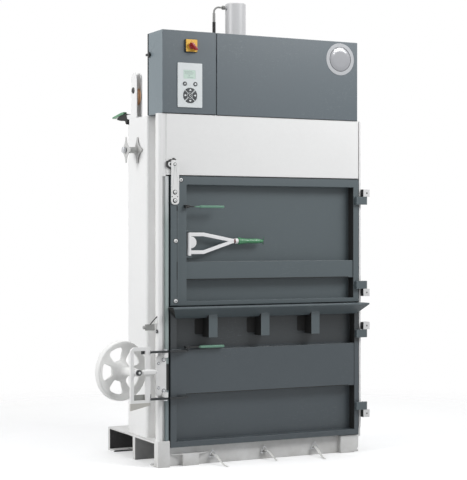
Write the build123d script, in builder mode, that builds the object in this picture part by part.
"""Vertical recycling baler: press frame, two doors, hand-wheel clamp, hydraulic ram and control hood."""

import os
from math import cos, radians, sin, tan

from build123d import *

os.makedirs("parts", exist_ok=True)

# Frame: X to the machine's right, Y to its back, Z up, origin on the floor amid the four anchor holes.
# Depths are counted backwards from the front plane that doors, hood and left column share.
base_length = 622.0
front_y = -base_length / 2

# Heights above the floor
base_top = 114.0
foot_top = 120.0
lower_door_bottom = 88.0
lower_door_top = 729.0
upper_door_bottom = 736.0
upper_door_top = 1331.0
apron_bottom = 1336.0
frame_top = 1617.0
hood_top = 2000.0
cylinder_top = hood_top + 195.0

# Widths from the middle plane
column_outer = 541.0
column_inner = 501.0
rail_inner = 487.0
wall_outer = 480.0
hood_half = 520.0
plate_margin = 2.0
base_half = column_outer + plate_margin
door_left = -478.0
door_right = 526.0

# Depths and sheet thicknesses
sheet = 3.0
wall_plate = 6.0
door_plate = 4.0
door_depth = 50.0
door_seat_gap = 3.0
chamber_front = door_depth + door_seat_gap
chamber_back = 505.0
hood_depth = 172.0
cylinder_depth = 294.0
running_gap = 2.0
pin_clearance = 0.05

# Strap lanes shared by floor, doors, platen, rear wall and front sill
lane_pitch = 272.0
lanes = (-lane_pitch, 0.0, lane_pitch)
lane_width = 30.0


def back(depth):
    """Y of a plane that lies this far behind the front plane."""
    return front_y + depth


def facing(depth):
    """Sketch plane seen from the front: local x is X, local y is Z, its normal points forwards."""
    return Plane(origin=(0, back(depth), 0), x_dir=(1, 0, 0), z_dir=(0, -1, 0))


def level(height):
    """Horizontal sketch plane at this height."""
    return Plane.XY.offset(height)


def side(x):
    """Sketch plane seen from the right: local x is Y, local y is Z."""
    return Plane.YZ.offset(x)


def area(x, y, mode=Mode.ADD):
    """Rectangle between two limits on each sketch axis."""
    with Locations(((x[0] + x[1]) / 2, (y[0] + y[1]) / 2)):
        return Rectangle(abs(x[1] - x[0]), abs(y[1] - y[0]), mode=mode)


def outline(*points, mode=Mode.ADD):
    """Face inside a closed run of points, in the sketch's own axes."""
    return Polygon(*points, align=None, mode=mode)


def slab(x, y, z, mode=Mode.ADD):
    """Plate between two limits on each axis."""
    middle = tuple((limits[0] + limits[1]) / 2 for limits in (x, y, z))
    with Locations(middle):
        return Box(abs(x[1] - x[0]), abs(y[1] - y[0]), abs(z[1] - z[0]), mode=mode)


def level_at(x, depth, height):
    """Horizontal sketch plane centred on this point."""
    return Plane(origin=(x, back(depth), height))


def rightwards(x, depth, height):
    """Sketch plane across the X axis: local x is Y, local y is Z, its normal points right."""
    return Plane(origin=(x, back(depth), height), x_dir=(0, 1, 0), z_dir=(1, 0, 0))


def save(part, name):
    """Labels a finished piece and writes its file."""
    part.label = name
    export_step(part, f"parts/{name}.step")


# Base skid
leg_width = 30.0
top_plate = 8.0
mid_leg_depth = 268.0
rear_leg_depth = base_length - leg_width
anchor_plate = 8.0
anchor_inset = 30.0
anchor_x = 450.0
anchor_y = base_length / 2 - leg_width - anchor_inset
anchor_hole = 14.0
foot_depth = 45.0
foot_width = 59.0
sill_height = 56.0
sill_edge = 8.0
sill_depth = 30.0
sill_web = 8.0
toe_width = 112.0
toe_radius = 36.0
foot_block = (-412.0, -331.0)
shelf_splay = 60.0
shelf_thickness = 6.0
foot_left = -column_outer
sill_start = foot_left + foot_width
sill_end = column_outer - toe_width
sill_back_top = lower_door_bottom - 4

with BuildPart() as base_skid:
    with BuildSketch(side(-base_half)):
        area((back(foot_depth), back(base_length)), (base_top - top_plate, base_top))
        area((back(mid_leg_depth), back(mid_leg_depth + leg_width)), (0, base_top - top_plate))
        area((back(rear_leg_depth), back(base_length)), (0, base_top - top_plate))
    extrude(amount=2 * base_half)
    fillet(base_skid.edges().filter_by(Axis.Z).group_by(Axis.Y)[-1], radius=8)
    # The top plate stops behind the lower door
    slab(
        (-rail_inner, base_half + 1),
        (back(0), back(chamber_front)),
        (base_top - top_plate, base_top),
        mode=Mode.SUBTRACT,
    )
    # Front feet: a tall block under the left column, a toe with a rounded lower corner on the right
    with BuildSketch(level(0)):
        area((foot_left, foot_left + foot_width), (back(0), back(foot_depth)))
    extrude(amount=foot_top)
    with BuildSketch(facing(foot_depth)):
        area((sill_end, door_right + 4), (0, sill_back_top))
        fillet(vertices().group_by(Axis.Y)[0].sort_by(Axis.X)[-1], radius=toe_radius)
    extrude(amount=foot_depth - sill_edge)
    slab(
        (door_right + 4, column_outer),
        (back(sill_edge), back(chamber_front)),
        (sill_back_top - sill_web, foot_top),
    )
    # Front sill: a web set back under the door, then a step back up to the floor's front edge
    with BuildSketch(side(sill_start)):
        outline(
            (back(sill_depth), 0),
            (back(sill_depth), sill_back_top),
            (back(chamber_front), sill_back_top),
            (back(chamber_front), base_top),
            (back(chamber_front + sill_web), base_top),
            (back(chamber_front + sill_web), sill_back_top - sill_web),
            (back(sill_depth + sill_web), sill_back_top - sill_web),
            (back(sill_depth + sill_web), 0),
        )
    extrude(amount=sill_end - sill_start)
    with BuildSketch(level(sill_height)):
        outline(
            (foot_block[0], back(sill_edge)),
            (foot_block[1], back(sill_edge)),
            (foot_block[1] + shelf_splay, back(sill_depth)),
            (foot_block[0] - shelf_splay, back(sill_depth)),
        )
    extrude(amount=-shelf_thickness)
    with BuildSketch(side(sill_end)):
        area((back(foot_depth), back(chamber_front)), (sill_back_top - sill_web, sill_back_top))
        area((back(chamber_front), back(chamber_front + sill_web)), (sill_back_top - sill_web, base_top))
    extrude(amount=base_half - sill_end)
    # A foot under the sill's left end, its shelf splayed towards the sill
    with BuildSketch(facing(sill_depth)):
        area(foot_block, (0, sill_height))
    extrude(amount=sill_depth - sill_edge)
    # Anchor flanges lie on the floor, one pair at the rear leg and one pair behind the front feet
    with BuildSketch(level(0)):
        for flange_x in (-anchor_x, anchor_x):
            for flange_y in (-anchor_y, anchor_y):
                with Locations((flange_x, flange_y)):
                    Rectangle(2 * (base_half - anchor_x), 2 * anchor_inset)
            front_flange = (back(sill_depth), -anchor_y)
            area((flange_x - base_half + anchor_x, flange_x + base_half - anchor_x), front_flange)
    extrude(amount=anchor_plate)
    with Locations((0, 0, anchor_plate)):
        with GridLocations(2 * anchor_x, 2 * anchor_y, 2, 2):
            Hole(radius=anchor_hole / 2, depth=anchor_plate)
save(base_skid.part, "base_skid")

# Chamber walls with their front columns, folded from plate
column_plate = 5.0
column_radius = 12.0
column_face = 519.0
flank_depth = 29.0
recess_depth = 4.0
groove_depth = 16.0
strip_outer = 503.0
strip_depth = 3.0
toggle_x = -556.0
toggle_depth = 20.0
toggle_low = 627.0
toggle_high = 655.0
toggle_pin = 3.0
toggle_arm = 40.0
lug_thickness = 4.0
rail_depth = 20.0
flange_right = 531.0
edge_strip_top = apron_bottom - 6.0

with BuildPart() as side_frame_left:
    with BuildSketch(level(foot_top)):
        outline(
            (-column_outer, back(0)),
            (-column_face, back(0)),
            (-column_face, back(recess_depth)),
            (-column_inner, back(recess_depth)),
            (-column_inner, back(rail_depth)),
            (-rail_inner, back(rail_depth)),
            (-rail_inner, back(chamber_front)),
            (-wall_outer, back(chamber_front)),
            (-wall_outer, back(chamber_front + 4)),
            (-column_inner, back(chamber_front + 4)),
            (-column_inner, back(flank_depth)),
            (-column_outer, back(flank_depth)),
        )
        fillet(vertices().group_by(Axis.X)[0].sort_by(Axis.Y)[0], radius=column_radius)
        fillet(vertices().group_by(Axis.Y)[0].sort_by(Axis.X)[-1], radius=recess_depth - 0.5)
        area(
            (-column_outer + column_plate, -column_face - column_plate),
            (back(column_plate), back(flank_depth - column_plate)),
            mode=Mode.SUBTRACT,
        )
    extrude(amount=frame_top - foot_top)
    # Beside the doors a groove runs down the column, and the wall's edge strip comes forward next to it
    slab(
        (-column_face, -strip_outer),
        (back(recess_depth - 1), back(groove_depth)),
        (foot_top, edge_strip_top),
        mode=Mode.SUBTRACT,
    )
    slab((-strip_outer, -rail_inner), (back(strip_depth), back(rail_depth)), (foot_top, edge_strip_top))
    slab(
        (-wall_outer, -wall_outer + wall_plate),
        (back(chamber_front), back(chamber_back)),
        (base_top, frame_top),
    )
    slab(
        (-column_inner, -wall_outer),
        (back(foot_depth), back(chamber_front + 4)),
        (base_top, foot_top),
    )
    # Two lugs and a pin on the column's outer face hold the toggle catch
    for lug_bottom in (toggle_low - running_gap - lug_thickness, toggle_high + running_gap):
        slab(
            (toggle_x - 6, -column_outer),
            (back(toggle_depth - 8), back(toggle_depth + 8)),
            (lug_bottom, lug_bottom + lug_thickness),
        )
    with BuildSketch(Plane(origin=(toggle_x, back(toggle_depth), toggle_low - running_gap))):
        Circle(toggle_pin)
    extrude(amount=toggle_high - toggle_low + 2 * running_gap)
save(side_frame_left.part, "side_frame_left")

with BuildPart() as side_frame_right:
    # The doors close over this column, so it is set back behind a narrow edge strip that carries the hinges
    with BuildSketch(level(foot_top)):
        outline(
            (flange_right, back(4)),
            (column_outer, back(4)),
            (column_outer, back(chamber_front + 45)),
            (wall_outer, back(chamber_front + 45)),
            (wall_outer, back(chamber_front)),
            (flange_right, back(chamber_front)),
        )
        area(
            (wall_outer + column_plate, column_outer - column_plate),
            (back(chamber_front + column_plate), back(chamber_front + 45 - column_plate)),
            mode=Mode.SUBTRACT,
        )
    extrude(amount=frame_top - foot_top)
    slab(
        (wall_outer - wall_plate, wall_outer),
        (back(chamber_front), back(chamber_back)),
        (base_top, frame_top),
    )
    slab(
        (wall_outer, column_outer),
        (back(chamber_front), back(chamber_front + 45)),
        (base_top, foot_top),
    )
save(side_frame_right.part, "side_frame_right")

rear_plate = 6.0
slot_height = 90.0
inner_half = wall_outer - wall_plate

with BuildPart() as rear_wall:
    with BuildSketch(facing(chamber_back)):
        area((-inner_half, inner_half), (base_top, frame_top))
        # Strap inlets above the floor, one on each lane
        with Locations(*[(lane, base_top + 100) for lane in lanes]):
            SlotOverall(slot_height, lane_width - 6, rotation=90, mode=Mode.SUBTRACT)
    extrude(amount=rear_plate)
    # Two folded stiffeners across the back
    for rib_height in (620.0, 1150.0):
        with BuildSketch(side(-inner_half + 20)):
            outline(
                (back(chamber_back), rib_height - 45),
                (back(chamber_back + 26), rib_height - 30),
                (back(chamber_back + 26), rib_height + 30),
                (back(chamber_back), rib_height + 45),
            )
            outline(
                (back(chamber_back), rib_height - 38),
                (back(chamber_back + 22), rib_height - 26),
                (back(chamber_back + 22), rib_height + 26),
                (back(chamber_back), rib_height + 38),
                mode=Mode.SUBTRACT,
            )
        extrude(amount=2 * (inner_half - 20))
save(rear_wall.part, "rear_wall")

# Side boxes over the tie columns
box_reach = 45.0
box_front = 174.0
box_back = 394.0
box_radius = 14.0
box_chamfer = 10.0


def side_box(outward):
    """Folded cover on one side wall, open towards the wall; outward is -1 on the left, 1 on the right."""
    inner = outward * wall_outer
    outer = outward * (wall_outer + box_reach)
    wall_side = 0 if outward > 0 else -1
    with BuildPart() as cover:
        slab((min(inner, outer), max(inner, outer)), (back(box_front), back(box_back)), (base_top, frame_top))
        uprights = cover.edges().filter_by(Axis.Z).group_by(Axis.X)[-1 if outward > 0 else 0]
        fillet(uprights.sort_by(Axis.Y)[0], radius=box_radius)
        rear_upright = cover.edges().filter_by(Axis.Z).group_by(Axis.X)[-1 if outward > 0 else 0]
        chamfer(rear_upright.sort_by(Axis.Y)[-1], length=box_chamfer)
        offset(amount=-sheet, openings=cover.faces().sort_by(Axis.X)[wall_side])
    return cover.part


save(side_box(-1), "side_box_left")
save(side_box(1), "side_box_right")

# Chamber floor with a groove for each strap
floor_thickness = 14.0
groove_depth = 9.0
floor_front = chamber_front + sill_web
floor_back = chamber_back - rear_plate

with BuildPart() as chamber_floor:
    with BuildSketch(level(base_top)):
        area((-inner_half, inner_half), (back(floor_front), back(floor_back)))
    extrude(amount=floor_thickness)
    with BuildSketch(level(base_top + floor_thickness)):
        with Locations(*[(lane, back((floor_front + floor_back) / 2)) for lane in lanes]):
            Rectangle(lane_width, floor_back - floor_front)
    extrude(amount=-groove_depth, mode=Mode.SUBTRACT)
save(chamber_floor.part, "chamber_floor")

# Apron over the doors
apron_left = -column_inner
apron_right = 527.0
apron_front = 2.0
apron_depth = 40.0

with BuildPart() as apron:
    slab((apron_left, apron_right), (back(apron_front), back(apron_depth)), (apron_bottom, frame_top))
    front_uprights = apron.edges().filter_by(Axis.Z).group_by(Axis.Y)[0]
    fillet(front_uprights, radius=5)
    offset(amount=-sheet, openings=apron.faces().sort_by(Axis.Y)[-1])
    # Clears the left column's recessed rail
    slab(
        (apron_left - 1, -rail_inner),
        (back(rail_depth), back(apron_depth + 1)),
        (apron_bottom - 1, frame_top + 1),
        mode=Mode.SUBTRACT,
    )
save(apron.part, "apron")

# Crosshead: a top plate over two channels, bored for the cylinder
head_plate = 20.0
barrel_radius = 50.5
barrel_bore = 42.0
channel_height = 110.0
channel_width = 50.0
channel_web = 8.0
head_front = 200.0
head_back = 390.0
bolt_ring = 74.0
barrel_clearance = 0.3

with BuildPart() as crosshead:
    with BuildSketch(side(-inner_half)):
        area((back(head_front), back(head_back)), (frame_top - head_plate, frame_top))
        for channel_front in (head_front, head_back - channel_width):
            channel = (back(channel_front), back(channel_front + channel_width))
            drop = frame_top - head_plate - channel_height
            area(channel, (drop, frame_top - head_plate))
            inner_face = channel_web if channel_front == head_front else -1
            outer_face = -1 if channel_front == head_front else channel_web
            area(
                (channel[0] + inner_face, channel[1] - outer_face),
                (drop + channel_web, frame_top - head_plate),
                mode=Mode.SUBTRACT,
            )
    extrude(amount=2 * inner_half)
    with Locations((0, back(cylinder_depth), frame_top)):
        Hole(radius=barrel_radius + barrel_clearance, depth=head_plate)
save(crosshead.part, "crosshead")

# Hydraulic cylinder: barrel with bolted flange, gland below and cap above
flange_thickness = 18.0
barrel_bottom = frame_top - 100.0
gland_length = 32.0
cap_thickness = 22.0
rod_radius = 25.0
piston_length = 40.0
piston_top_gap = 4.0
port_height = cylinder_top - 23.0
port_radius = 9.0
port_boss = 12.0
port_face = -barrel_radius + 4 - port_boss

with BuildPart() as cylinder_barrel:
    with BuildSketch(Plane(origin=(0, back(cylinder_depth), 0), x_dir=(1, 0, 0), z_dir=(0, -1, 0))):
        outline(
            (rod_radius + pin_clearance, barrel_bottom),
            (barrel_radius, barrel_bottom),
            (barrel_radius, frame_top),
            (bolt_ring + 18, frame_top),
            (bolt_ring + 18, frame_top + flange_thickness),
            (barrel_radius, frame_top + flange_thickness),
            (barrel_radius, cylinder_top - 4),
            (barrel_radius - 4, cylinder_top),
            (0, cylinder_top),
            (0, cylinder_top - cap_thickness),
            (barrel_bore, cylinder_top - cap_thickness),
            (barrel_bore, barrel_bottom + gland_length),
            (rod_radius + pin_clearance, barrel_bottom + gland_length),
        )
    revolve(axis=Axis((0, back(cylinder_depth), 0), (0, 0, 1)))
    # Heads of the four flange bolts
    with BuildSketch(Plane(origin=(0, back(cylinder_depth), frame_top + flange_thickness))):
        with PolarLocations(bolt_ring, 4, start_angle=45):
            RegularPolygon(radius=12, side_count=6)
    extrude(amount=9)
    # Port boss near the top
    with BuildSketch(rightwards(port_face, cylinder_depth, port_height)):
        Circle(port_radius)
    extrude(amount=port_boss)
save(cylinder_barrel.part, "cylinder_barrel")

# Ram: piston, rod and platen
platen_bottom = 1350.0
platen_plate = 14.0
platen_rib = 12.0
platen_box = 130.0
platen_half = 462.0
platen_front = 62.0
platen_back = chamber_back - rear_plate - 6
rib_height = 70.0
socket_radius = 48.0

with BuildPart() as piston_rod:
    rod_foot = platen_bottom + platen_plate
    piston_top = cylinder_top - cap_thickness - piston_top_gap
    with BuildSketch(Plane(origin=(0, back(cylinder_depth), 0), x_dir=(1, 0, 0), z_dir=(0, -1, 0))):
        outline(
            (0, rod_foot),
            (rod_radius, rod_foot),
            (rod_radius, piston_top - piston_length),
            (barrel_bore - pin_clearance, piston_top - piston_length),
            (barrel_bore - pin_clearance, piston_top),
            (0, piston_top),
        )
    revolve(axis=Axis((0, back(cylinder_depth), 0), (0, 0, 1)))
save(piston_rod.part, "piston_rod")

with BuildPart() as press_platen:
    with BuildSketch(level(platen_bottom)):
        area((-platen_half, platen_half), (back(platen_front), back(platen_back)))
        # Each lane is open to the front for threading the straps
        with Locations(*[(lane, back((platen_front + platen_back) / 2)) for lane in lanes if lane]):
            SlotOverall(platen_back - platen_front - 80, lane_width, rotation=90, mode=Mode.SUBTRACT)
    extrude(amount=platen_plate)
    for rib_depth in (platen_front + 20, cylinder_depth - 95, cylinder_depth + 70, platen_back - 70):
        slab(
            (-platen_half + platen_rib, platen_half - platen_rib),
            (back(rib_depth), back(rib_depth + platen_rib)),
            (platen_bottom + platen_plate, platen_bottom + rib_height),
        )
    for rib_x in (
        -platen_half + platen_rib,
        -platen_box,
        platen_box - platen_rib,
        platen_half - 2 * platen_rib,
    ):
        slab(
            (rib_x, rib_x + platen_rib),
            (back(platen_front + 20), back(platen_back - 58)),
            (platen_bottom + platen_plate, platen_bottom + rib_height),
        )
    with BuildSketch(level(platen_bottom + platen_plate)):
        with Locations((0, back(cylinder_depth))):
            Circle(socket_radius)
            Circle(rod_radius, mode=Mode.SUBTRACT)
    extrude(amount=rib_height - platen_plate)
    slab(
        (-platen_box, platen_box),
        (back(cylinder_depth - 90), back(cylinder_depth - socket_radius + 6)),
        (platen_bottom + platen_plate, platen_bottom + platen_plate + platen_rib),
    )
save(press_platen.part, "press_platen")

# Bent steel pipe, ferrule and hose from the cylinder's upper port down into the hood
hose_x = -117.0
hose_radius = 8.0
pipe_radius = 4.5
ferrule_radius = 6.8
ferrule_top = port_height - 30.0
hose_top = ferrule_top - 44.0
hose_entry = frame_top + 145.0
hose_bend = 54.0
nut_length = 14.0
nut_radius_across = 11.0
elbow_radius = 26.0
pipe_start = port_face - nut_length

with BuildPart() as hose_fittings:
    with BuildSketch(rightwards(pipe_start, cylinder_depth, port_height)):
        RegularPolygon(radius=nut_radius_across, side_count=6)
    extrude(amount=nut_length)
    with BuildLine() as pipe_line:
        FilletPolyline(
            (pipe_start, back(cylinder_depth), port_height),
            (hose_x, back(cylinder_depth), port_height),
            (hose_x, back(cylinder_depth), ferrule_top),
            radius=elbow_radius,
        )
    with BuildSketch(rightwards(pipe_start, cylinder_depth, port_height)):
        Circle(pipe_radius)
    sweep(path=pipe_line.wires()[0])
    with BuildSketch(level(hose_top)):
        with Locations((hose_x, back(cylinder_depth))):
            Circle(ferrule_radius)
    extrude(amount=ferrule_top - hose_top)
save(hose_fittings.part, "hose_fittings")

with BuildPart() as pressure_hose:
    with BuildLine() as hose_line:
        FilletPolyline(
            (hose_x, back(cylinder_depth), hose_top),
            (hose_x, back(cylinder_depth), hose_entry),
            (hose_x, back(hood_depth + 4), hose_entry),
            radius=hose_bend,
        )
    with BuildSketch(level(hose_top)):
        with Locations((hose_x, back(cylinder_depth))):
            Circle(hose_radius)
    sweep(path=hose_line.wires()[0])
save(pressure_hose.part, "pressure_hose")

# Hood over the top of the machine: a fixed cover on the right and a hinged electrics door on the left
hood_bottom = frame_top
split_x = -244.0
split_gap = 4.0
divider_x = split_x + 4
plate_gap = 1.0
knuckle_x = split_x - split_gap - 6
knuckle_depth = 7.0
knuckle_radius = 5.5
ear_radius = 3.6
ear_reach = 17.0
hood_seat = 1.5
knuckle_pin = 2.5
knuckle_length = 40.0
knuckle_heights = (1700.0, 1880.0)
cam_depth = 147.0
cam_rise = 282.0
cam_height = frame_top + cam_rise
cam_shaft = 6.0

with BuildPart() as hood_backplate:
    slab(
        (-hood_half + 6, hood_half - 6),
        (back(hood_depth), back(hood_depth + sheet)),
        (hood_bottom, hood_top - 6),
    )
    slab(
        (divider_x, divider_x + sheet),
        (back(knuckle_depth), back(hood_depth)),
        (hood_bottom + hood_seat + sheet + 1, hood_top - sheet - 1),
    )
    # Ears on the divider hold the pins of the electrics door
    for height in knuckle_heights:
        for ear_height in (height - 6, height + knuckle_length + 2):
            with BuildSketch(level(ear_height)):
                with Locations((knuckle_x, back(knuckle_depth))):
                    Circle(ear_radius)
                area((knuckle_x - 6, knuckle_x + 2), (back(knuckle_depth), back(knuckle_depth + ear_reach)))
                ear_root = (back(knuckle_depth + ear_reach - 6), back(knuckle_depth + ear_reach))
                area((knuckle_x - 6, divider_x), ear_root)
            extrude(amount=4)
        with BuildSketch(level(height - 6)):
            with Locations((knuckle_x, back(knuckle_depth))):
                Circle(knuckle_pin)
        extrude(amount=knuckle_length + 12)
    # Hose gland
    with BuildSketch(facing(hood_depth + sheet)):
        with Locations((hose_x, hose_entry)):
            Circle(hose_radius + 0.3)
    extrude(amount=sheet, mode=Mode.SUBTRACT)
save(hood_backplate.part, "hood_backplate")

with BuildPart() as hood_cover:
    slab((split_x, hood_half), (back(0), back(hood_depth)), (hood_bottom, hood_top))
    fillet(hood_cover.edges().filter_by(Axis.Z).group_by(Axis.Y)[0].sort_by(Axis.X)[-1], radius=4)
    offset(amount=-sheet, openings=hood_cover.faces().sort_by(Axis.Y)[-1])
    # The cover is open beside the divider
    slab(
        (split_x - 1, split_x + sheet),
        (back(sheet), back(hood_depth + 1)),
        (hood_bottom + sheet, hood_top - sheet),
        mode=Mode.SUBTRACT,
    )
save(hood_cover.part, "hood_cover")

with BuildPart() as electrics_door:
    slab(
        (-hood_half, split_x - split_gap),
        (back(0), back(hood_depth - plate_gap)),
        (hood_bottom + hood_seat, hood_top),
    )
    fillet(electrics_door.edges().filter_by(Axis.Z).group_by(Axis.Y)[0].sort_by(Axis.X)[0], radius=4)
    offset(amount=-sheet, openings=electrics_door.faces().sort_by(Axis.Y)[-1])
    slab(
        (split_x - split_gap - sheet, split_x),
        (back(sheet), back(hood_depth)),
        (hood_bottom + hood_seat + sheet, hood_top - sheet),
        mode=Mode.SUBTRACT,
    )
    for height in knuckle_heights:
        with BuildSketch(level(height)):
            with Locations((knuckle_x, back(knuckle_depth))):
                Circle(knuckle_radius)
                Circle(knuckle_pin + pin_clearance, mode=Mode.SUBTRACT)
        extrude(amount=knuckle_length - 2)
    with BuildSketch(Plane(origin=(-hood_half - 1, back(cam_depth), cam_height), z_dir=(1, 0, 0))):
        Circle(cam_shaft + pin_clearance)
    extrude(amount=sheet + 2, mode=Mode.SUBTRACT)
save(electrics_door.part, "electrics_door")

# Gear inside the hood: a mounting plate with a row of contactors above a row of terminals
gear_plate_x = (-hood_half + 30, divider_x - 32)
gear_plate_z = (hood_bottom + 33, hood_top - 34)
gear_middle = (gear_plate_x[0] + gear_plate_x[1]) / 2
contactor_height = gear_plate_z[1] - 86.0
terminal_height = gear_plate_z[0] + 90.0
contactor_size = (46.0, 74.0, 86.0)
terminal_size = (18.0, 48.0, 62.0)
gear_front = hood_depth - 14.0

with BuildPart() as control_gear:
    slab(gear_plate_x, (back(hood_depth - 6), back(hood_depth)), gear_plate_z)
    rail_depths = (back(gear_front), back(hood_depth - 6))
    for rail_height in (terminal_height, contactor_height):
        slab(
            (gear_plate_x[0] + 10, gear_plate_x[1] - 10),
            rail_depths,
            (rail_height - 17, rail_height + 17),
        )
    with Locations((gear_middle, back(gear_front - contactor_size[1] / 2), contactor_height)):
        with GridLocations(contactor_size[0] + 6, 1, 4, 1):
            Box(*contactor_size)
    with Locations((gear_middle, back(gear_front - terminal_size[1] / 2), terminal_height)):
        with GridLocations(terminal_size[0] + 3, 1, 9, 1):
            Box(*terminal_size)
save(control_gear.part, "control_gear")

tank_x = (divider_x + 360, hood_half - 40)
tank_bottom = hood_bottom + 17.0
tank_top = tank_bottom + 166.0
tank_foot = 30.0
motor_x = tank_x[0] + 30
motor_radius = 62.0
motor_length = 190.0
motor_slots = 24
motor_axis_height = tank_top + motor_radius + 8
motor_depth = 98.0

with BuildPart() as oil_tank:
    slab(tank_x, (back(30), back(hood_depth - 4)), (tank_bottom, tank_top))
    fillet(oil_tank.edges().filter_by(Axis.Z), radius=18)
    with BuildSketch(level(tank_top)):
        with Locations((tank_x[1] - 45, back(motor_depth))):
            Circle(18)
    extrude(amount=14)
    # Feet stand the tank on the crosshead's front shelf
    for foot_x in (tank_x[0] + tank_foot, tank_x[1] - 2 * tank_foot):
        slab(
            (foot_x, foot_x + tank_foot),
            (back(60), back(hood_depth - 20)),
            (hood_bottom + sheet, tank_bottom),
        )
save(oil_tank.part, "oil_tank")

with BuildPart() as pump_motor:
    with BuildSketch(rightwards(motor_x, motor_depth, motor_axis_height)):
        Circle(motor_radius)
        with PolarLocations(motor_radius, motor_slots):
            Rectangle(8, 4, mode=Mode.SUBTRACT)
    extrude(amount=motor_length)
    with BuildSketch(rightwards(motor_x + motor_length, motor_depth, motor_axis_height)):
        Circle(motor_radius - 6)
    extrude(amount=48)
    slab(
        (motor_x + 20, motor_x + motor_length - 20),
        (back(motor_depth - 34), back(motor_depth + 34)),
        (tank_top, motor_axis_height - 50),
    )
save(pump_motor.part, "pump_motor")

# Hinges on the right: white blocks on the frame, dark leaves on the doors, one pin in each pair
hinge_x = 556.0
hinge_depth = -4.0
hinge_pin_radius = 7.0
block_height = 36.0
leaf_height = 38.0
hinge_gap = 0.6
hinge_seats = ((1247.5, 1), (799.0, -1), (599.5, 1), (208.0, -1))
block_right = 580.0
block_front = -19.0
block_back = 26.0
knuckle = 14.0
leaf_left = 504.0


def pin_plane(height):
    """Horizontal plane centred on the hinge line."""
    return Plane(origin=(hinge_x, back(hinge_depth), height))


def block_range(seat, up):
    """Lower and upper height of the fixed block that stands above or below its leaf."""
    start = seat + hinge_gap if up > 0 else seat - hinge_gap - block_height
    return start, start + block_height


with BuildPart() as hinge_blocks:
    for seat, up in hinge_seats:
        low, high = block_range(seat, up)
        with BuildSketch(level(low)) as block:
            area((column_outer, block_right), (back(block_front), back(block_back)))
            fillet(block.vertices().group_by(Axis.Y)[0], radius=5)
            with Locations((hinge_x, back(hinge_depth))):
                Circle(hinge_pin_radius, mode=Mode.SUBTRACT)
        extrude(amount=high - low)
save(hinge_blocks.part, "hinge_blocks")


def hinge_leaves(seats):
    """Leaves that reach from the door's front round to the pins."""
    with BuildPart() as leaves:
        for seat, up in seats:
            low = seat - leaf_height if up > 0 else seat
            with BuildSketch(level(low)):
                with Locations((hinge_x, back(hinge_depth))):
                    Circle(knuckle)
                area((leaf_left, hinge_x), (back(hinge_depth - knuckle), back(hinge_depth - 4)))
                area((leaf_left, door_right), (back(hinge_depth - knuckle), back(0)))
                with Locations((hinge_x, back(hinge_depth))):
                    Circle(hinge_pin_radius + pin_clearance, mode=Mode.SUBTRACT)
            extrude(amount=leaf_height)
    return leaves.part


save(hinge_leaves(hinge_seats[:2]), "upper_hinge_leaves")
save(hinge_leaves(hinge_seats[2:]), "lower_hinge_leaves")

# Doors: folded pans with channels across the recessed panel
panel_inset = 46.0
upper_stile = 42.0
upper_bar = 38.0
recess_left = door_left + upper_bar + upper_stile
upper_top_frame = 38.0
right_stile = 30.0
lower_stile = 30.0
channel_front = 5.0


def pan(bottom, top, recess_x, recess_z):
    """Folded pan: a sheet frame round a recessed panel, open behind the frame."""
    with BuildPart() as folded:
        slab((door_left, door_right), (back(0), back(door_depth)), (bottom, top))
        slab(recess_x, (back(0), back(panel_inset)), recess_z, mode=Mode.SUBTRACT)
        with BuildSketch(facing(door_depth)):
            area((door_left + door_plate, door_right - door_plate), (bottom + door_plate, top - door_plate))
            area(
                (recess_x[0] - door_plate, recess_x[1] + door_plate),
                (recess_z[0] - door_plate, recess_z[1] + door_plate),
                mode=Mode.SUBTRACT,
            )
        extrude(amount=door_depth - door_plate, mode=Mode.SUBTRACT)
    return folded.part


def channel(ends, heights, front):
    """Channel rail across the panel, open at both ends, slotted on each strap lane."""
    with BuildPart() as rail:
        slab(ends, (back(front), back(panel_inset)), heights)
        slab(
            (ends[0] - 1, ends[1] + 1),
            (back(front + door_plate), back(panel_inset)),
            (heights[0] + door_plate, heights[1] - door_plate),
            mode=Mode.SUBTRACT,
        )
        with BuildSketch(level(heights[1])):
            with Locations(*[(lane + 14, back(front + 12)) for lane in lanes]):
                SlotOverall(56, 10)
        extrude(amount=-door_plate, mode=Mode.SUBTRACT)
    return rail.part


lever_x = -380.0
lever_depth = 15.0
lever_pin = 5.0
ear_thickness = 6.0
lever_low = 966.0
lever_high = 1073.0
catch_pivot_x = -400.0
catch_pivot_depth = -11.0
catch_pin = 4.0
catch_gap = 0.4
upper_catch_height = 1192.0
strip_top = upper_catch_height + 4
upper_rail = (855.0, 938.0)
lower_catch_height = 546.0
catch_thickness = 6.0

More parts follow.
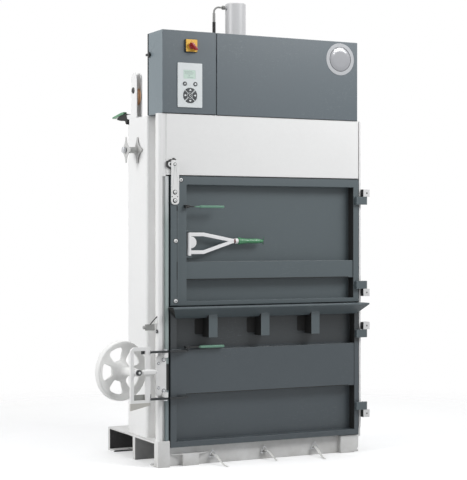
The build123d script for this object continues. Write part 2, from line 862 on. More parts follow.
with BuildPart() as upper_door:
    add(
        pan(
            upper_door_bottom,
            upper_door_top,
            (recess_left, door_right - right_stile),
            (upper_door_bottom + 20, upper_door_top - upper_top_frame),
        )
    )
    # Flat strip along the closing edge
    slab((door_left, door_left + upper_bar), (back(-5), back(0)), (upper_door_bottom + 3, strip_top))
    add(channel((recess_left, door_right - right_stile), upper_rail, channel_front))
    # Ears and pin of the fork lever
    for low in (lever_low - 3 - ear_thickness, lever_high + 3):
        slab(
            (recess_left - 4, lever_x + 12),
            (back(lever_depth - 10), back(panel_inset)),
            (low, low + ear_thickness),
        )
    with BuildSketch(level(lever_low - 3 - ear_thickness)):
        with Locations((lever_x, back(lever_depth))):
            Circle(lever_pin)
    extrude(amount=lever_high - lever_low + 6 + 2 * ear_thickness)
    # Ears and pin of the small catch lever
    for low in (
        upper_catch_height - catch_thickness / 2 - catch_gap - 4,
        upper_catch_height + catch_thickness / 2 + catch_gap,
    ):
        slab(
            (catch_pivot_x - 12, catch_pivot_x + 9),
            (back(catch_pivot_depth - 9), back(0)),
            (low, low + 4),
        )
    with BuildSketch(level(upper_catch_height - catch_thickness / 2 - catch_gap - 4)):
        with Locations((catch_pivot_x, back(catch_pivot_depth))):
            Circle(catch_pin)
    extrude(amount=catch_thickness + 2 * catch_gap + 8)
save(upper_door.part, "upper_door")

arm_heights = (318.0, 531.0)
arm_thickness = 9.0
clamp_pivot_x = -511.0
clamp_pivot_depth = -17.0
arm_half = 12.0
keeper_end = -388.0
lower_rail = (329.0, 535.0)

with BuildPart() as lower_door:
    add(
        pan(
            lower_door_bottom,
            lower_door_top,
            (door_left + lower_stile, door_right - 24),
            (lower_door_bottom + 26, lower_door_top - 18),
        )
    )
    add(channel((door_left + lower_stile, door_right - 24), lower_rail, 3))
    # Pointed straps that the clamp arms bear against
    for height in arm_heights:
        with BuildSketch(level(height - arm_thickness / 2)):
            outline(
                (clamp_pivot_x + 18, back(clamp_pivot_depth - arm_half)),
                (keeper_end - 40, back(clamp_pivot_depth - arm_half)),
                (keeper_end, back(0)),
                (keeper_end, back(3)),
                (door_left, back(3)),
                (door_left, back(clamp_pivot_depth + arm_half)),
                (clamp_pivot_x + 18, back(clamp_pivot_depth + arm_half)),
            )
        extrude(amount=arm_thickness)
    # Ears and pin of the lower catch lever
    for low in (
        lower_catch_height - catch_thickness / 2 - catch_gap - 4,
        lower_catch_height + catch_thickness / 2 + catch_gap,
    ):
        slab((catch_pivot_x - 12, catch_pivot_x + 9), (back(catch_pivot_depth - 9), back(3)), (low, low + 4))
    slab(
        (catch_pivot_x - 12, catch_pivot_x + 9),
        (back(-1), back(3)),
        (lower_rail[1] - 3, lower_catch_height + 7.4),
    )
    with BuildSketch(level(lower_catch_height - catch_thickness / 2 - catch_gap - 4)):
        with Locations((catch_pivot_x, back(catch_pivot_depth))):
            Circle(catch_pin)
    extrude(amount=catch_thickness + 2 * catch_gap + 8)
save(lower_door.part, "lower_door")

# Loading lip on the lower door's top edge, with a box bracket under it on each lane
lip_top = 732.0
lip_bottom = 678.0
lip_reach = 60.0
lip_left = -490.0
lip_right = 552.0
lip_mitre = 38.0
lip_sheet = 4.0
bracket_width = 45.0
bracket_bottom = 588.0
bracket_reach = 20.0
bracket_step = 3.0
bracket_top = lip_bottom + 18.0

with BuildPart() as door_lip:
    with BuildSketch(side(lip_left)):
        outline(
            (back(0), lip_bottom),
            (back(-lip_reach), lip_top - 8),
            (back(-lip_reach), lip_top),
            (back(0), lip_top),
            (back(0), lip_top - lip_sheet),
            (back(-lip_reach + lip_sheet), lip_top - lip_sheet),
            (back(-lip_reach + lip_sheet), lip_top - 8 + lip_sheet / 2),
            (back(0), lip_bottom + lip_sheet + 2),
        )
    extrude(amount=lip_right - lip_left)
    # Mitred ends
    for corner, inward in ((lip_left, 1), (lip_right, -1)):
        with BuildSketch(facing(0)):
            outline(
                (corner - inward, lip_bottom - 1),
                (corner + inward * lip_mitre, lip_bottom - 1),
                (corner, lip_top - 6),
                (corner - inward, lip_top - 6),
            )
        extrude(amount=lip_reach + 1, mode=Mode.SUBTRACT)
    # Box brackets, open below, welded to the panel and to the lip
    for lane in lanes:
        left, right = lane - bracket_width / 2, lane + bracket_width / 2
        for wall_x in ((left, left + lip_sheet), (right - lip_sheet, right)):
            with BuildSketch(side(wall_x[0])):
                outline(
                    (back(panel_inset), bracket_bottom),
                    (back(-bracket_reach), bracket_bottom),
                    (back(-bracket_reach), bracket_top),
                    (back(-bracket_step), lip_bottom + 5),
                    (back(-bracket_step), lip_bottom - 2),
                    (back(panel_inset), lip_bottom - 2),
                )
            extrude(amount=lip_sheet)
        slab(
            (left, right),
            (back(-bracket_reach), back(-bracket_reach + lip_sheet)),
            (bracket_bottom, bracket_top),
        )
save(door_lip.part, "door_lip")

# Interlock tongue on the upper door and its switch on the column
tongue_left = -478.0
tongue_width = 39.0
tongue_bottom = 1200.0
tongue_top = apron_bottom + 68.0
tongue_plate = 5.0
tongue_spacer = 4.0
switch_flats = 41.0
switch_x = -column_inner + switch_flats / 2 + 0.5
switch_height = tongue_top - 19.0

with BuildPart() as latch_bar:
    with BuildSketch(facing(-tongue_spacer)):
        area((tongue_left, tongue_left + tongue_width), (tongue_bottom, tongue_top))
        fillet(vertices().group_by(Axis.Y)[0], radius=16)
        fillet(vertices().group_by(Axis.Y)[-1], radius=4)
        with Locations((tongue_left + tongue_width / 2, switch_height)):
            Circle(5, mode=Mode.SUBTRACT)
    extrude(amount=tongue_plate)
    # Spacer block under the two bolts that hold it to the door
    slab(
        (tongue_left + 4, tongue_left + tongue_width - 4),
        (back(-tongue_spacer), back(0)),
        (tongue_bottom + 8, tongue_bottom + 90),
    )
save(latch_bar.part, "latch_bar")

with BuildPart() as interlock_switch:
    with BuildSketch(facing(apron_front)):
        with Locations((switch_x, switch_height)):
            RegularPolygon(radius=switch_flats / 2, side_count=6, major_radius=False, rotation=30)
            Circle(6, mode=Mode.SUBTRACT)
    extrude(amount=apron_front + tongue_spacer - 0.5)
save(interlock_switch.part, "interlock_switch")

# Fork lever with its grip
fork_plate = 10.0
fork_straight = -306.0
fork_apex = -158.0
fork_end = -128.0
grip_end = 7.0
grip_radius = 15.5
grip_taper = 4.0
arm_width = 17.0
fork_z = (lever_low + 16, lever_high - 9)
fork_mid = 1033.0

with BuildPart() as door_lever:
    with BuildSketch(facing(lever_depth + fork_plate / 2)):
        # Cheek with its half-round cam
        area((lever_x - 8, lever_x + 10), (lever_low, lever_high))
        with Locations((lever_x + 10, (lever_low + lever_high) / 2 + 8)):
            Circle(27)
        area((lever_x - 60, lever_x - 8), (lever_low - 1, lever_high + 1), mode=Mode.SUBTRACT)
        # Two arms run straight, then converge on the grip's stem
        for start_z, arm_sign in ((fork_z[0], 1), (fork_z[1], -1)):
            area((lever_x, fork_straight), (start_z - arm_width / 2, start_z + arm_width / 2))
            outline(
                (fork_straight, start_z - arm_width / 2),
                (fork_apex, fork_mid - arm_sign * 3 - 8),
                (fork_end - 8, fork_mid - 8),
                (fork_end - 8, fork_mid + 8),
                (fork_apex, fork_mid - arm_sign * 3 + 8),
                (fork_straight, start_z + arm_width / 2),
            )
    extrude(amount=fork_plate)
    with BuildSketch(level(lever_low)):
        with Locations((lever_x, back(lever_depth))):
            Circle(lever_pin + 4)
    extrude(amount=lever_high - lever_low)
    with BuildSketch(level(lever_low)):
        with Locations((lever_x, back(lever_depth))):
            Circle(lever_pin + pin_clearance)
    extrude(amount=lever_high - lever_low, mode=Mode.SUBTRACT)
    # Collar and tang for the grip
    with BuildSketch(Plane(origin=(fork_end - 8, back(lever_depth), fork_mid), z_dir=(1, 0, 0))):
        Circle(10)
    extrude(amount=8)
    with BuildSketch(Plane(origin=(fork_end, back(lever_depth), fork_mid), z_dir=(1, 0, 0))):
        Circle(5)
    extrude(amount=60)
save(door_lever.part, "door_lever")

with BuildPart() as door_lever_grip:
    with BuildSketch(Plane(origin=(0, back(lever_depth), 0), x_dir=(1, 0, 0), z_dir=(0, -1, 0))):
        with BuildLine():
            Polyline((fork_end, fork_mid + 5), (fork_end, fork_mid + grip_radius - 1))
            Spline(
                (fork_end, fork_mid + grip_radius - 1),
                (fork_end + 12, fork_mid + grip_radius),
                (grip_end - 45, fork_mid + grip_radius - grip_taper),
                (grip_end - 12, fork_mid + grip_radius - 1.7 * grip_taper),
                (grip_end, fork_mid),
                tangents=((0.4, 1), (0, -1)),
            )
            Polyline(
                (grip_end, fork_mid),
                (fork_end + 60, fork_mid),
                (fork_end + 60, fork_mid + 5),
                (fork_end, fork_mid + 5),
            )
        make_face()
    revolve(axis=Axis((0, back(lever_depth), fork_mid), (1, 0, 0)))
save(door_lever_grip.part, "door_lever_grip")


def catch_lever(height):
    """Small flat lever: an eye on its pin, a bar and a slim grip over the bar's end."""
    bar_end = -336.0
    slim_end = -212.0
    with BuildPart() as lever:
        with BuildSketch(level(height - catch_thickness / 2)):
            with Locations((catch_pivot_x, back(catch_pivot_depth))):
                Circle(9)
            area((catch_pivot_x, bar_end), (back(catch_pivot_depth - 7), back(catch_pivot_depth + 7)))
            with Locations((catch_pivot_x, back(catch_pivot_depth))):
                Circle(catch_pin + pin_clearance, mode=Mode.SUBTRACT)
        extrude(amount=catch_thickness)
        with BuildSketch(level(height - 6)) as grip_outline:
            area((bar_end, slim_end), (back(catch_pivot_depth - 9), back(catch_pivot_depth + 9)))
            fillet(grip_outline.vertices().group_by(Axis.X)[0], radius=3)
            fillet(grip_outline.vertices().group_by(Axis.X)[-1], radius=8)
        extrude(amount=12)
        for rim in (lever.faces().sort_by(Axis.Z)[0], lever.faces().sort_by(Axis.Z)[-1]):
            chamfer(rim.edges(), length=2.5)
    return lever.part


save(catch_lever(upper_catch_height), "upper_catch")
save(catch_lever(lower_catch_height), "lower_catch")

# Pins of the four door hinges and of the clamp
clamp_pin = 6.0
clamp_head = 10.0
arm_gap = 0.5
head_thickness = 5.0
lug_height = 22.0
arm_top = arm_heights[1] + arm_thickness / 2
arm_bottom = arm_heights[0] - arm_thickness / 2
upper_lug_top = arm_heights[1] - arm_thickness / 2 - arm_gap
lower_lug_bottom = arm_heights[0] + arm_thickness / 2 + arm_gap
upper_lug = (upper_lug_top - lug_height, upper_lug_top)
lower_lug = (lower_lug_bottom, lower_lug_bottom + lug_height)

with BuildPart() as pivot_pins:
    for seat, up in hinge_seats:
        low, high = block_range(seat, up)
        pin_low = seat - leaf_height if up > 0 else low
        pin_high = high if up > 0 else seat + leaf_height
        with BuildSketch(pin_plane(pin_low)):
            Circle(hinge_pin_radius)
        extrude(amount=pin_high - pin_low)
    for pin_start, pin_end, outward in ((upper_lug[0], arm_top, 1), (lower_lug[1], arm_bottom, -1)):
        with BuildSketch(level_at(clamp_pivot_x, clamp_pivot_depth, pin_start)):
            Circle(clamp_pin)
        extrude(amount=pin_end - pin_start + outward * arm_gap)
        with BuildSketch(level_at(clamp_pivot_x, clamp_pivot_depth, pin_end + outward * arm_gap)):
            Circle(clamp_head)
        extrude(amount=outward * head_thickness)
save(pivot_pins.part, "pivot_pins")

# Clamp plate on the left column, with a lug behind each arm
clamp_plate_x = (-553.0, -503.0)
clamp_plate_z = (330.0, 514.0)
clamp_plate_thickness = 6.0

with BuildPart() as clamp_plate:
    with BuildSketch(facing(0)):
        area(clamp_plate_x, clamp_plate_z)
        chamfer(vertices(), length=9)
    extrude(amount=clamp_plate_thickness)
    for lug in (upper_lug, lower_lug):
        with BuildSketch(level(lug[0])):
            area((clamp_pivot_x - 12, -column_inner - 2), (back(clamp_pivot_depth), back(-1)))
            with Locations((clamp_pivot_x, back(clamp_pivot_depth))):
                Circle(12)
                Circle(clamp_pin, mode=Mode.SUBTRACT)
        extrude(amount=lug_height)
    slab((-column_outer, clamp_plate_x[1]), (back(-1), back(0)), (upper_lug[0], upper_lug[1]))
    slab((-column_outer, clamp_plate_x[1]), (back(-1), back(0)), (lower_lug[0], lower_lug[1]))
save(clamp_plate.part, "clamp_plate")

# Clamp yoke: an upright frame whose nut carries the spindle
yoke_x = (-684.0, -587.0)
yoke_z = (291.0, 555.0)
yoke_depth = (-20.0, -8.0)
yoke_bars = (17.0, 24.0)
yoke_top_bar = 17.0
yoke_bottom_bar = 24.0
yoke_corner = 22.0
yoke_flange = 22.0
spindle_yaw = 14.5
spindle_height = 441.0
spindle_front = Vector(-647.0, back(-30), spindle_height)
spindle_along = Vector(-sin(radians(spindle_yaw)), cos(radians(spindle_yaw)), 0)
spindle_across = Vector(cos(radians(spindle_yaw)), sin(radians(spindle_yaw)), 0)
spindle_radius = 8.0
collar_radius = 13.0
nut_radius = 17.0
nut_span = (6.0, 34.0)
wheel_distance = 136.0
boss_x = (-632.0, -556.0)
boss_height = 24.0


def spindle_plane(distance):
    """Plane across the spindle, this far behind its front end."""
    return Plane(origin=spindle_front + spindle_along * distance, x_dir=spindle_across, z_dir=spindle_along)


with BuildPart() as clamp_frame:
    with BuildSketch(facing(yoke_depth[1])) as yoke_outline:
        area(yoke_x, yoke_z)
        fillet(yoke_outline.vertices().group_by(Axis.Y)[-1].sort_by(Axis.X)[0], radius=yoke_corner)
        area(
            (yoke_x[0] + yoke_bars[0], yoke_x[1] - yoke_bars[1]),
            (yoke_z[0] + yoke_bottom_bar, yoke_z[1] - yoke_top_bar),
            mode=Mode.SUBTRACT,
        )
        # Tapered flange along the bottom
        outline((yoke_x[0], yoke_z[0]), (yoke_x[1], yoke_z[0]), (yoke_x[0], yoke_z[0] - yoke_flange))
    extrude(amount=yoke_depth[1] - yoke_depth[0])
    # Crossbar behind the nut ties it to both uprights
    slab(
        (yoke_x[0] + 8, yoke_x[1] - 8),
        (back(yoke_depth[1] - 6), back(yoke_depth[1])),
        (spindle_height - 7, spindle_height + 7),
    )
    with BuildSketch(spindle_plane(nut_span[0])):
        Circle(nut_radius)
    extrude(amount=nut_span[1] - nut_span[0])
    with BuildSketch(spindle_plane(nut_span[0])):
        Circle(spindle_radius + pin_clearance)
    extrude(amount=nut_span[1] - nut_span[0], mode=Mode.SUBTRACT)
    # Lozenge boss across the right upright
    with BuildSketch(facing(yoke_depth[0] + 4)):
        with Locations(((boss_x[0] + boss_x[1]) / 2, spindle_height)):
            SlotOverall(boss_x[1] - boss_x[0], boss_height)
    boss = extrude(amount=14)
    chamfer(clamp_frame.faces().sort_by(Axis.Y)[0].edges(), length=5)
save(clamp_frame.part, "clamp_frame")

with BuildPart() as clamp_arms:
    for height in arm_heights:
        with BuildSketch(level(height - arm_thickness / 2)):
            area(
                (yoke_x[1], clamp_pivot_x),
                (back(clamp_pivot_depth - arm_half), back(clamp_pivot_depth + arm_half)),
            )
            with Locations((clamp_pivot_x, back(clamp_pivot_depth))):
                Circle(arm_half + 1)
                Circle(clamp_pin + pin_clearance, mode=Mode.SUBTRACT)
        extrude(amount=arm_thickness)
    # Upright tails behind the yoke
    tail_end = yoke_x[0] + yoke_bars[0] - 6
    tail_depths = (back(yoke_depth[1]), back(yoke_depth[1] + 3))
    slab((tail_end, yoke_x[1] + 8), tail_depths, (arm_heights[0] - 6, arm_heights[0] + 22))
    slab((yoke_x[1] - 40, yoke_x[1] + 8), tail_depths, (arm_heights[1] - 9, arm_heights[1] + 7))
save(clamp_arms.part, "clamp_arms")

with BuildPart() as spindle:
    with BuildSketch(spindle_plane(-4)):
        Circle(spindle_radius)
    extrude(amount=wheel_distance + 18)
    with BuildSketch(spindle_plane(-4)):
        Circle(collar_radius)
    extrude(amount=nut_span[0] + 4 - arm_gap)
save(spindle.part, "spindle")

# Dished handwheel with five openings
wheel_radius = 137.0
wheel_hub = 26.0
wheel_sleeve = 20.0
opening_inner = 48.0
opening_outer = 107.0
opening_angle = 46.0
opening_corner = 14.0
wheel_plane = spindle_plane(wheel_distance)
sleeve_front = nut_span[1] + 1 - wheel_distance


def wheel_opening(turn):
    """One opening of the wheel: a sector between hub and rim with rounded corners, turned by this angle."""
    reach = 2 * opening_outer
    half_chord = reach * tan(radians(opening_angle / 2))
    with BuildSketch() as opening:
        Circle(opening_outer)
        Circle(opening_inner, mode=Mode.SUBTRACT)
        outline((0, 0), (reach, -half_chord), (reach, half_chord), mode=Mode.INTERSECT)
        fillet(opening.vertices(), radius=opening_corner)
    return opening.sketch.rotate(Axis.Z, turn)


with BuildPart() as handwheel:
    with BuildSketch(Plane(origin=wheel_plane.origin, x_dir=spindle_across, z_dir=(0, 0, 1))):
        with BuildLine():
            Polyline(
                (spindle_radius, 13),
                (spindle_radius, sleeve_front),
                (wheel_sleeve, sleeve_front),
                (wheel_sleeve, -24),
                (wheel_hub, -18),
            )
            Spline(
                (wheel_hub, -18),
                (44, -4),
                (74, 2),
                (108, -6),
                (wheel_radius - 7, -17),
                tangents=((1, 1), (1, -0.4)),
            )
            ThreePointArc((wheel_radius - 7, -17), (wheel_radius - 1.5, -14), (wheel_radius, -8))
            Line((wheel_radius, -8), (wheel_radius, 8))
            ThreePointArc((wheel_radius, 8), (wheel_radius - 1.5, 14), (wheel_radius - 7, 17))
            Spline(
                (wheel_radius - 7, 17),
                (108, 6),
                (74, 12),
                (wheel_hub, 13),
                tangents=((-1, -0.6), (-1, 0)),
            )
            Line((wheel_hub, 13), (spindle_radius, 13))
        make_face()
    revolve(axis=Axis(wheel_plane.origin, spindle_along))
    with BuildSketch(spindle_plane(wheel_distance - 30)):
        for turn in range(5):
            add(wheel_opening(180 + 72 * turn))
    extrude(amount=60, mode=Mode.SUBTRACT)
save(handwheel.part, "handwheel")

# Toggle catch on the left column
with BuildPart() as toggle_catch:
    with BuildSketch(level(toggle_low)):
        with Locations((toggle_x, back(toggle_depth))):
            Circle(6)
        area((toggle_x - toggle_arm, toggle_x), (back(toggle_depth - 2), back(toggle_depth + 2)))
        with Locations((toggle_x, back(toggle_depth))):
            Circle(toggle_pin + pin_clearance, mode=Mode.SUBTRACT)
    extrude(amount=toggle_high - toggle_low)
    with BuildSketch(rightwards(toggle_x - toggle_arm, toggle_depth, (toggle_low + toggle_high) / 2)):
        Circle(8)
    extrude(amount=-10)
save(toggle_catch.part, "toggle_catch")

# Strap spool on an axle beside the left side box
spool_depth = 273.0
spool_height = 1462.0
axle_radius = 8.0
spool_tube = 15.0
flange_thick = 3.0
flange_x = (-588.0, -531.0)
star_half = (55.0, 61.0)
star_tip = 7.0
star_waist = 23.0
axle_start = -wall_outer - box_reach
knob_radius = 14.0


with BuildPart() as spool_axle:
    with BuildSketch(rightwards(flange_x[0] - 16, spool_depth, spool_height)):
        Circle(axle_radius)
    extrude(amount=axle_start - flange_x[0] + 16)
    for washer_x, thickness, radius in (
        (flange_x[0] - 16, 12, knob_radius),
        (axle_start - 2, 2, 20),
    ):
        with BuildSketch(rightwards(washer_x, spool_depth, spool_height)):
            Circle(radius)
        extrude(amount=thickness)
save(spool_axle.part, "spool_axle")

with BuildPart() as strap_spool:
    for x in flange_x:
        with BuildSketch(rightwards(x, spool_depth, spool_height)):
            with BuildLine():
                Line((star_half[0], 0), (star_half[0], star_tip))
                ThreePointArc((star_half[0], star_tip), (star_waist, star_waist), (star_tip, star_half[1]))
                Line((star_tip, star_half[1]), (0, star_half[1]))
                mirror(about=Plane.YZ)
                mirror(about=Plane.XZ)
            make_face()
            Circle(spool_tube + 8)
        extrude(amount=flange_thick)
    with BuildSketch(rightwards(flange_x[0], spool_depth, spool_height)):
        Circle(spool_tube)
    extrude(amount=flange_x[1] - flange_x[0] + flange_thick)
    with BuildSketch(rightwards(flange_x[0], spool_depth, spool_height)):
        Circle(axle_radius + pin_clearance)
    extrude(amount=flange_x[1] - flange_x[0] + flange_thick, mode=Mode.SUBTRACT)
save(strap_spool.part, "strap_spool")

# Pulley bracket on top of the left side box, with the release lever's ears behind it
bracket_depths = (292.0, 361.0)
bracket_base = 8.0
bracket_height = 1834.0
outer_plate = (-525.0, -520.0)
inner_plate = (-501.0, -496.0)
pulley_x = (-518.0, -503.0)
bracket_corner = 33.0
bolt_seat = 3.0
pulley_radius = 40.0
pulley_height = 1720.0
pulley_depth = 329.0
bolt_radius = 8.0
release_depth = 403.0
release_height = frame_top + 12.0
release_pin = 4.0
ear_x = ((-525.0, -519.0), (-502.0, -496.0))

with BuildPart() as pulley_bracket:
    slab(
        (outer_plate[0], inner_plate[1]),
        (back(bracket_depths[0]), back(bracket_depths[1])),
        (frame_top, frame_top + bracket_base),
    )
    for plate in (outer_plate, inner_plate):
        with BuildSketch(side(plate[0])) as cheek:
            area((back(bracket_depths[0]), back(bracket_depths[1])), (frame_top, bracket_height))
            fillet(cheek.vertices().group_by(Axis.Y)[-1], radius=bracket_corner)
        extrude(amount=plate[1] - plate[0])
    # The bolt passes the inner plate and ends in a blind seat in the outer one
    with BuildSketch(rightwards(outer_plate[1] - bolt_seat, pulley_depth, pulley_height)):
        Circle(bolt_radius)
    extrude(amount=inner_plate[1] - outer_plate[1] + bolt_seat, mode=Mode.SUBTRACT)
    for ear in ear_x:
        with BuildSketch(side(ear[0])):
            area((back(bracket_depths[1] - 6), back(release_depth)), (frame_top, release_height + 10))
            with Locations((back(release_depth), release_height)):
                Circle(10)
                Circle(release_pin, mode=Mode.SUBTRACT)
        extrude(amount=ear[1] - ear[0])
    with BuildSketch(rightwards(ear_x[0][0], release_depth, release_height)):
        Circle(release_pin)
    extrude(amount=ear_x[1][1] - ear_x[0][0])
save(pulley_bracket.part, "pulley_bracket")

with BuildPart() as pulley_bolt:
    with BuildSketch(rightwards(outer_plate[1] - bolt_seat, pulley_depth, pulley_height)):
        Circle(bolt_radius)
    extrude(amount=inner_plate[1] - outer_plate[1] + bolt_seat)
    with BuildSketch(rightwards(inner_plate[1], pulley_depth, pulley_height)):
        RegularPolygon(radius=14, side_count=6)
    extrude(amount=6)
save(pulley_bolt.part, "pulley_bolt")

with BuildPart() as pulley:
    with BuildSketch(Plane(origin=(0, back(pulley_depth), pulley_height), x_dir=(1, 0, 0), z_dir=(0, -1, 0))):
        with BuildLine():
            Polyline(
                (pulley_x[0] + 6, pulley_radius - 7),
                (pulley_x[0] + 2, pulley_radius),
                (pulley_x[0], pulley_radius),
                (pulley_x[0], bolt_radius + pin_clearance),
                (pulley_x[1], bolt_radius + pin_clearance),
                (pulley_x[1], pulley_radius),
                (pulley_x[1] - 2, pulley_radius),
                (pulley_x[1] - 6, pulley_radius - 7),
                (pulley_x[0] + 6, pulley_radius - 7),
            )
        make_face()
    revolve(axis=Axis((0, back(pulley_depth), pulley_height), (1, 0, 0)))
save(pulley.part, "pulley")

# Release lever behind the bracket: eye, flat bar and grip
release_x = (ear_x[0][1] + 2, ear_x[1][0] - 2)
release_length = 170.0
release_grip = 95.0

with BuildPart() as release_lever:
    with BuildSketch(side(release_x[0])):
        with Locations((back(release_depth), release_height)):
            Circle(9)
        area(
            (back(release_depth), back(release_depth + release_length - 10)),
            (release_height - 5, release_height + 5),
        )
        with Locations((back(release_depth), release_height)):
            Circle(release_pin + pin_clearance, mode=Mode.SUBTRACT)
    extrude(amount=release_x[1] - release_x[0])
    with BuildSketch(facing(release_depth + release_length)):
        with Locations(((release_x[0] + release_x[1]) / 2, release_height)):
            Circle(11)
    extrude(amount=release_grip)
    fillet(release_lever.edges().filter_by(GeomType.CIRCLE).group_by(Axis.Y)[-1], radius=6)
save(release_lever.part, "release_lever")

# Strap guides: folded triangles on the sill, each beside its lane, and the strap ends that come through them
guide_offset = 16.0
guide_width = 46.0
guide_z = (30.0, 66.0)
guide_sheet = 3.0
guide_depth = sill_depth - 10.0
strap_width = 13.0
strap_thickness = 1.2

with BuildPart() as strap_guides:
    for lane in lanes:
        middle = lane + guide_offset
        with BuildSketch(facing(guide_depth)) as hook:
            outline(
                (middle - guide_width / 2, guide_z[0]),
                (middle + guide_width / 2, guide_z[0]),
                (middle, guide_z[1]),
            )
            offset(amount=-guide_sheet, kind=Kind.INTERSECTION, mode=Mode.SUBTRACT)
        extrude(amount=guide_sheet)
        slab(
            (middle - guide_width / 2 + 6, middle + guide_width / 2 - 6),
            (back(guide_depth), back(sill_depth)),
            (guide_z[0], guide_z[0] + guide_sheet),
        )
save(strap_guides.part, "strap_guides")

strap_routes = {
    "strap_tail_left": (-272.0 + guide_offset, 7.0, (30, 43), (-7, 42), (-42, 19), (-82, 0.9), (-108, 0.9)),
    "strap_tail_middle": (guide_offset, 14.0, (30, 43), (-3, 42.5), (-33, 22), (-64, 1.6)),
    "strap_tail_right": (272.0 + guide_offset, -6.0, (30, 43), (-9, 42), (-46, 19), (-86, 0.9), (-114, 0.9)),
}
for name, (strap_x, drift, *route) in strap_routes.items():
    heading = Vector(sin(radians(drift)), -cos(radians(drift)), 0)
    strap_plane = Plane(
        origin=(strap_x, back(sill_depth), 0),
        x_dir=heading,
        z_dir=heading.cross(Vector(0, 0, 1)),
    )
    points = [(sill_depth - depth, height) for depth, height in route]
    vectors = [Vector(*end) - Vector(*start) for start, end in zip(points, points[1:])]
    radii = [
        0.45 * min(one.length, two.length) / tan(radians(one.get_angle(two)) / 2)
        for one, two in zip(vectors, vectors[1:])
    ]
    print(name, "bend radii", [round(radius) for radius in radii])
    with BuildPart() as strap:
        with BuildLine(strap_plane) as strap_line:
            FilletPolyline(*points, radius=radii)
        strap_start = strap_plane.from_local_coords(Vector(*points[0]))
        with BuildSketch(Plane(origin=strap_start, x_dir=strap_plane.z_dir, z_dir=heading)):
            Rectangle(strap_width, strap_thickness)
        sweep(path=strap_line.wires()[0])
    print(name, round(strap.part.volume), round(strap_line.wires()[0].length * strap_width * strap_thickness))
    save(strap.part, name)

# Main switch on the electrics door
switch_middle = (-377.0, 1932.0)
switch_box_half = 30.0
switch_face_half = 28.0
switch_depth = 9.0
face_thickness = 3.0
knob_axis = (-377.0, 1930.0)
knob_shaft = 5.0
disc_radius = 15.0

with BuildPart() as switch_box:
    with BuildSketch(facing(0)):
        with Locations(switch_middle):
            RectangleRounded(2 * switch_box_half, 2 * switch_box_half, 3)
    extrude(amount=switch_depth)
    with BuildSketch(facing(-switch_depth)):
        with Locations(switch_middle):
            RectangleRounded(2 * switch_face_half, 2 * switch_face_half, 2)
    extrude(amount=face_thickness)
    with BuildSketch(facing(-switch_depth - face_thickness)):
        with Locations(knob_axis):
            Circle(knob_shaft + pin_clearance)
    extrude(amount=-8, mode=Mode.SUBTRACT)
save(switch_box.part, "switch_box")

with BuildPart() as switch_knob:
    knob_back = -switch_depth - face_thickness - 0.4
    with BuildSketch(facing(knob_back + 7)):
        with Locations(knob_axis):
            Circle(knob_shaft)
    extrude(amount=7)
    with BuildSketch(facing(knob_back)):
        with Locations(knob_axis):
            Circle(disc_radius)
    extrude(amount=8)
    # Bar handle that points down to the right
    with BuildSketch(facing(knob_back - 8)):
        with Locations(Location((knob_axis[0] + 4, knob_axis[1] - 4), -45)):
            SlotOverall(44, 13)
    extrude(amount=16)
    chamfer(switch_knob.faces().sort_by(Axis.Y)[0].edges(), length=2)
save(switch_knob.part, "switch_knob")

with BuildPart() as cam_lock:
    with BuildSketch(rightwards(-hood_half - 0.5 - 5, cam_depth, cam_height)):
        Circle(13)
    extrude(amount=5)
    with BuildSketch(rightwards(-hood_half - 0.5 - 12, cam_depth, cam_height)):
        SlotOverall(40, 11)
    extrude(amount=7)
    with BuildSketch(rightwards(-hood_half - 1, cam_depth, cam_height)):
        Circle(cam_shaft)
    extrude(amount=12)
    # Tongue inside the door, pointing down when locked
    with BuildSketch(rightwards(-hood_half + sheet + 5, cam_depth, cam_height)):
        area((-7, 7), (-24, 7))
    extrude(amount=3)
save(cam_lock.part, "cam_lock")

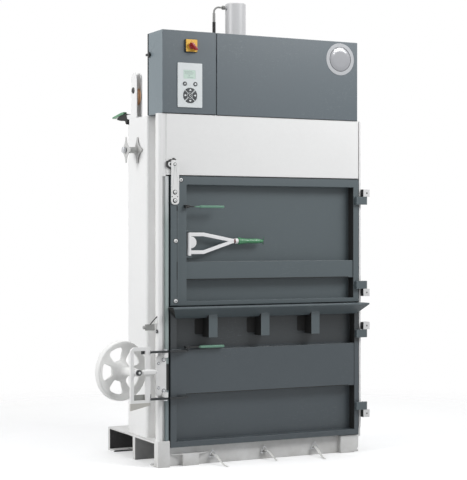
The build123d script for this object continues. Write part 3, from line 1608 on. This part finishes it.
# Control panel with its display and seven keys
panel_x = (-444.0, -321.0)
panel_z = (1648.0, 1852.0)
panel_proud = 5.0
display_x = (-416.0, -355.0)
display_z = (1779.0, 1820.0)
ring_middle = (-382.5, 1703.0)
ring_outer = 35.0
ring_inner = 14.0
ring_split = 5.0
centre_key_radius = 11.0
round_key_radius = 10.0
round_keys = {"key_start": (-409.0, 1756.0), "key_stop": (-356.0, 1756.0)}
quadrant_turns = {"key_right": 0, "key_up": 90, "key_left": 180, "key_down": 270}
key_gap = 0.15
pocket_depth = 3.5
key_travel = 1.0
key_proud = 2.0


def quadrant(turn, grow):
    """Key between two diagonal gaps of the ring, grown on all sides, turned by this angle."""
    with BuildSketch() as sector:
        Circle(ring_outer + grow)
        Circle(ring_inner - grow, mode=Mode.SUBTRACT)
        apex = (ring_split / 2 - grow) / sin(radians(45))
        reach = 2 * ring_outer
        outline((apex, 0), (apex + reach, -reach), (apex + reach, reach), mode=Mode.INTERSECT)
    return sector.sketch.rotate(Axis.Z, turn)


def key_plane(middle, depth):
    """Sketch plane centred on a key."""
    return Plane(origin=(middle[0], back(depth), middle[1]), x_dir=(1, 0, 0), z_dir=(0, -1, 0))


with BuildPart() as control_panel:
    with BuildSketch(facing(0)):
        area(panel_x, panel_z)
        fillet(vertices(), radius=3)
    extrude(amount=panel_proud)
    with BuildSketch(facing(-panel_proud)):
        area(display_x, display_z)
    extrude(amount=-0.8, mode=Mode.SUBTRACT)
    with BuildSketch(facing(-panel_proud)):
        with Locations(*round_keys.values()):
            Circle(round_key_radius + key_gap)
    extrude(amount=-pocket_depth, mode=Mode.SUBTRACT)
    with BuildSketch(key_plane(ring_middle, -panel_proud)):
        Circle(centre_key_radius + key_gap)
        for turn in quadrant_turns.values():
            add(quadrant(turn, key_gap))
    extrude(amount=-pocket_depth, mode=Mode.SUBTRACT)
save(control_panel.part, "control_panel")

key_back = -(panel_proud - pocket_depth) - key_travel - 0.3
key_height = panel_proud + key_proud + key_back
for name, middle in {**round_keys, "key_centre": ring_middle}.items():
    with BuildPart() as key:
        with BuildSketch(key_plane(middle, key_back)):
            Circle(centre_key_radius if name == "key_centre" else round_key_radius)
        extrude(amount=key_height)
        fillet(key.edges().filter_by(GeomType.CIRCLE).group_by(Axis.Y)[0], radius=0.8)
    save(key.part, name)
for name, turn in quadrant_turns.items():
    with BuildPart() as key:
        with BuildSketch(key_plane(ring_middle, key_back)):
            add(quadrant(turn, 0))
        extrude(amount=key_height)
    save(key.part, name)
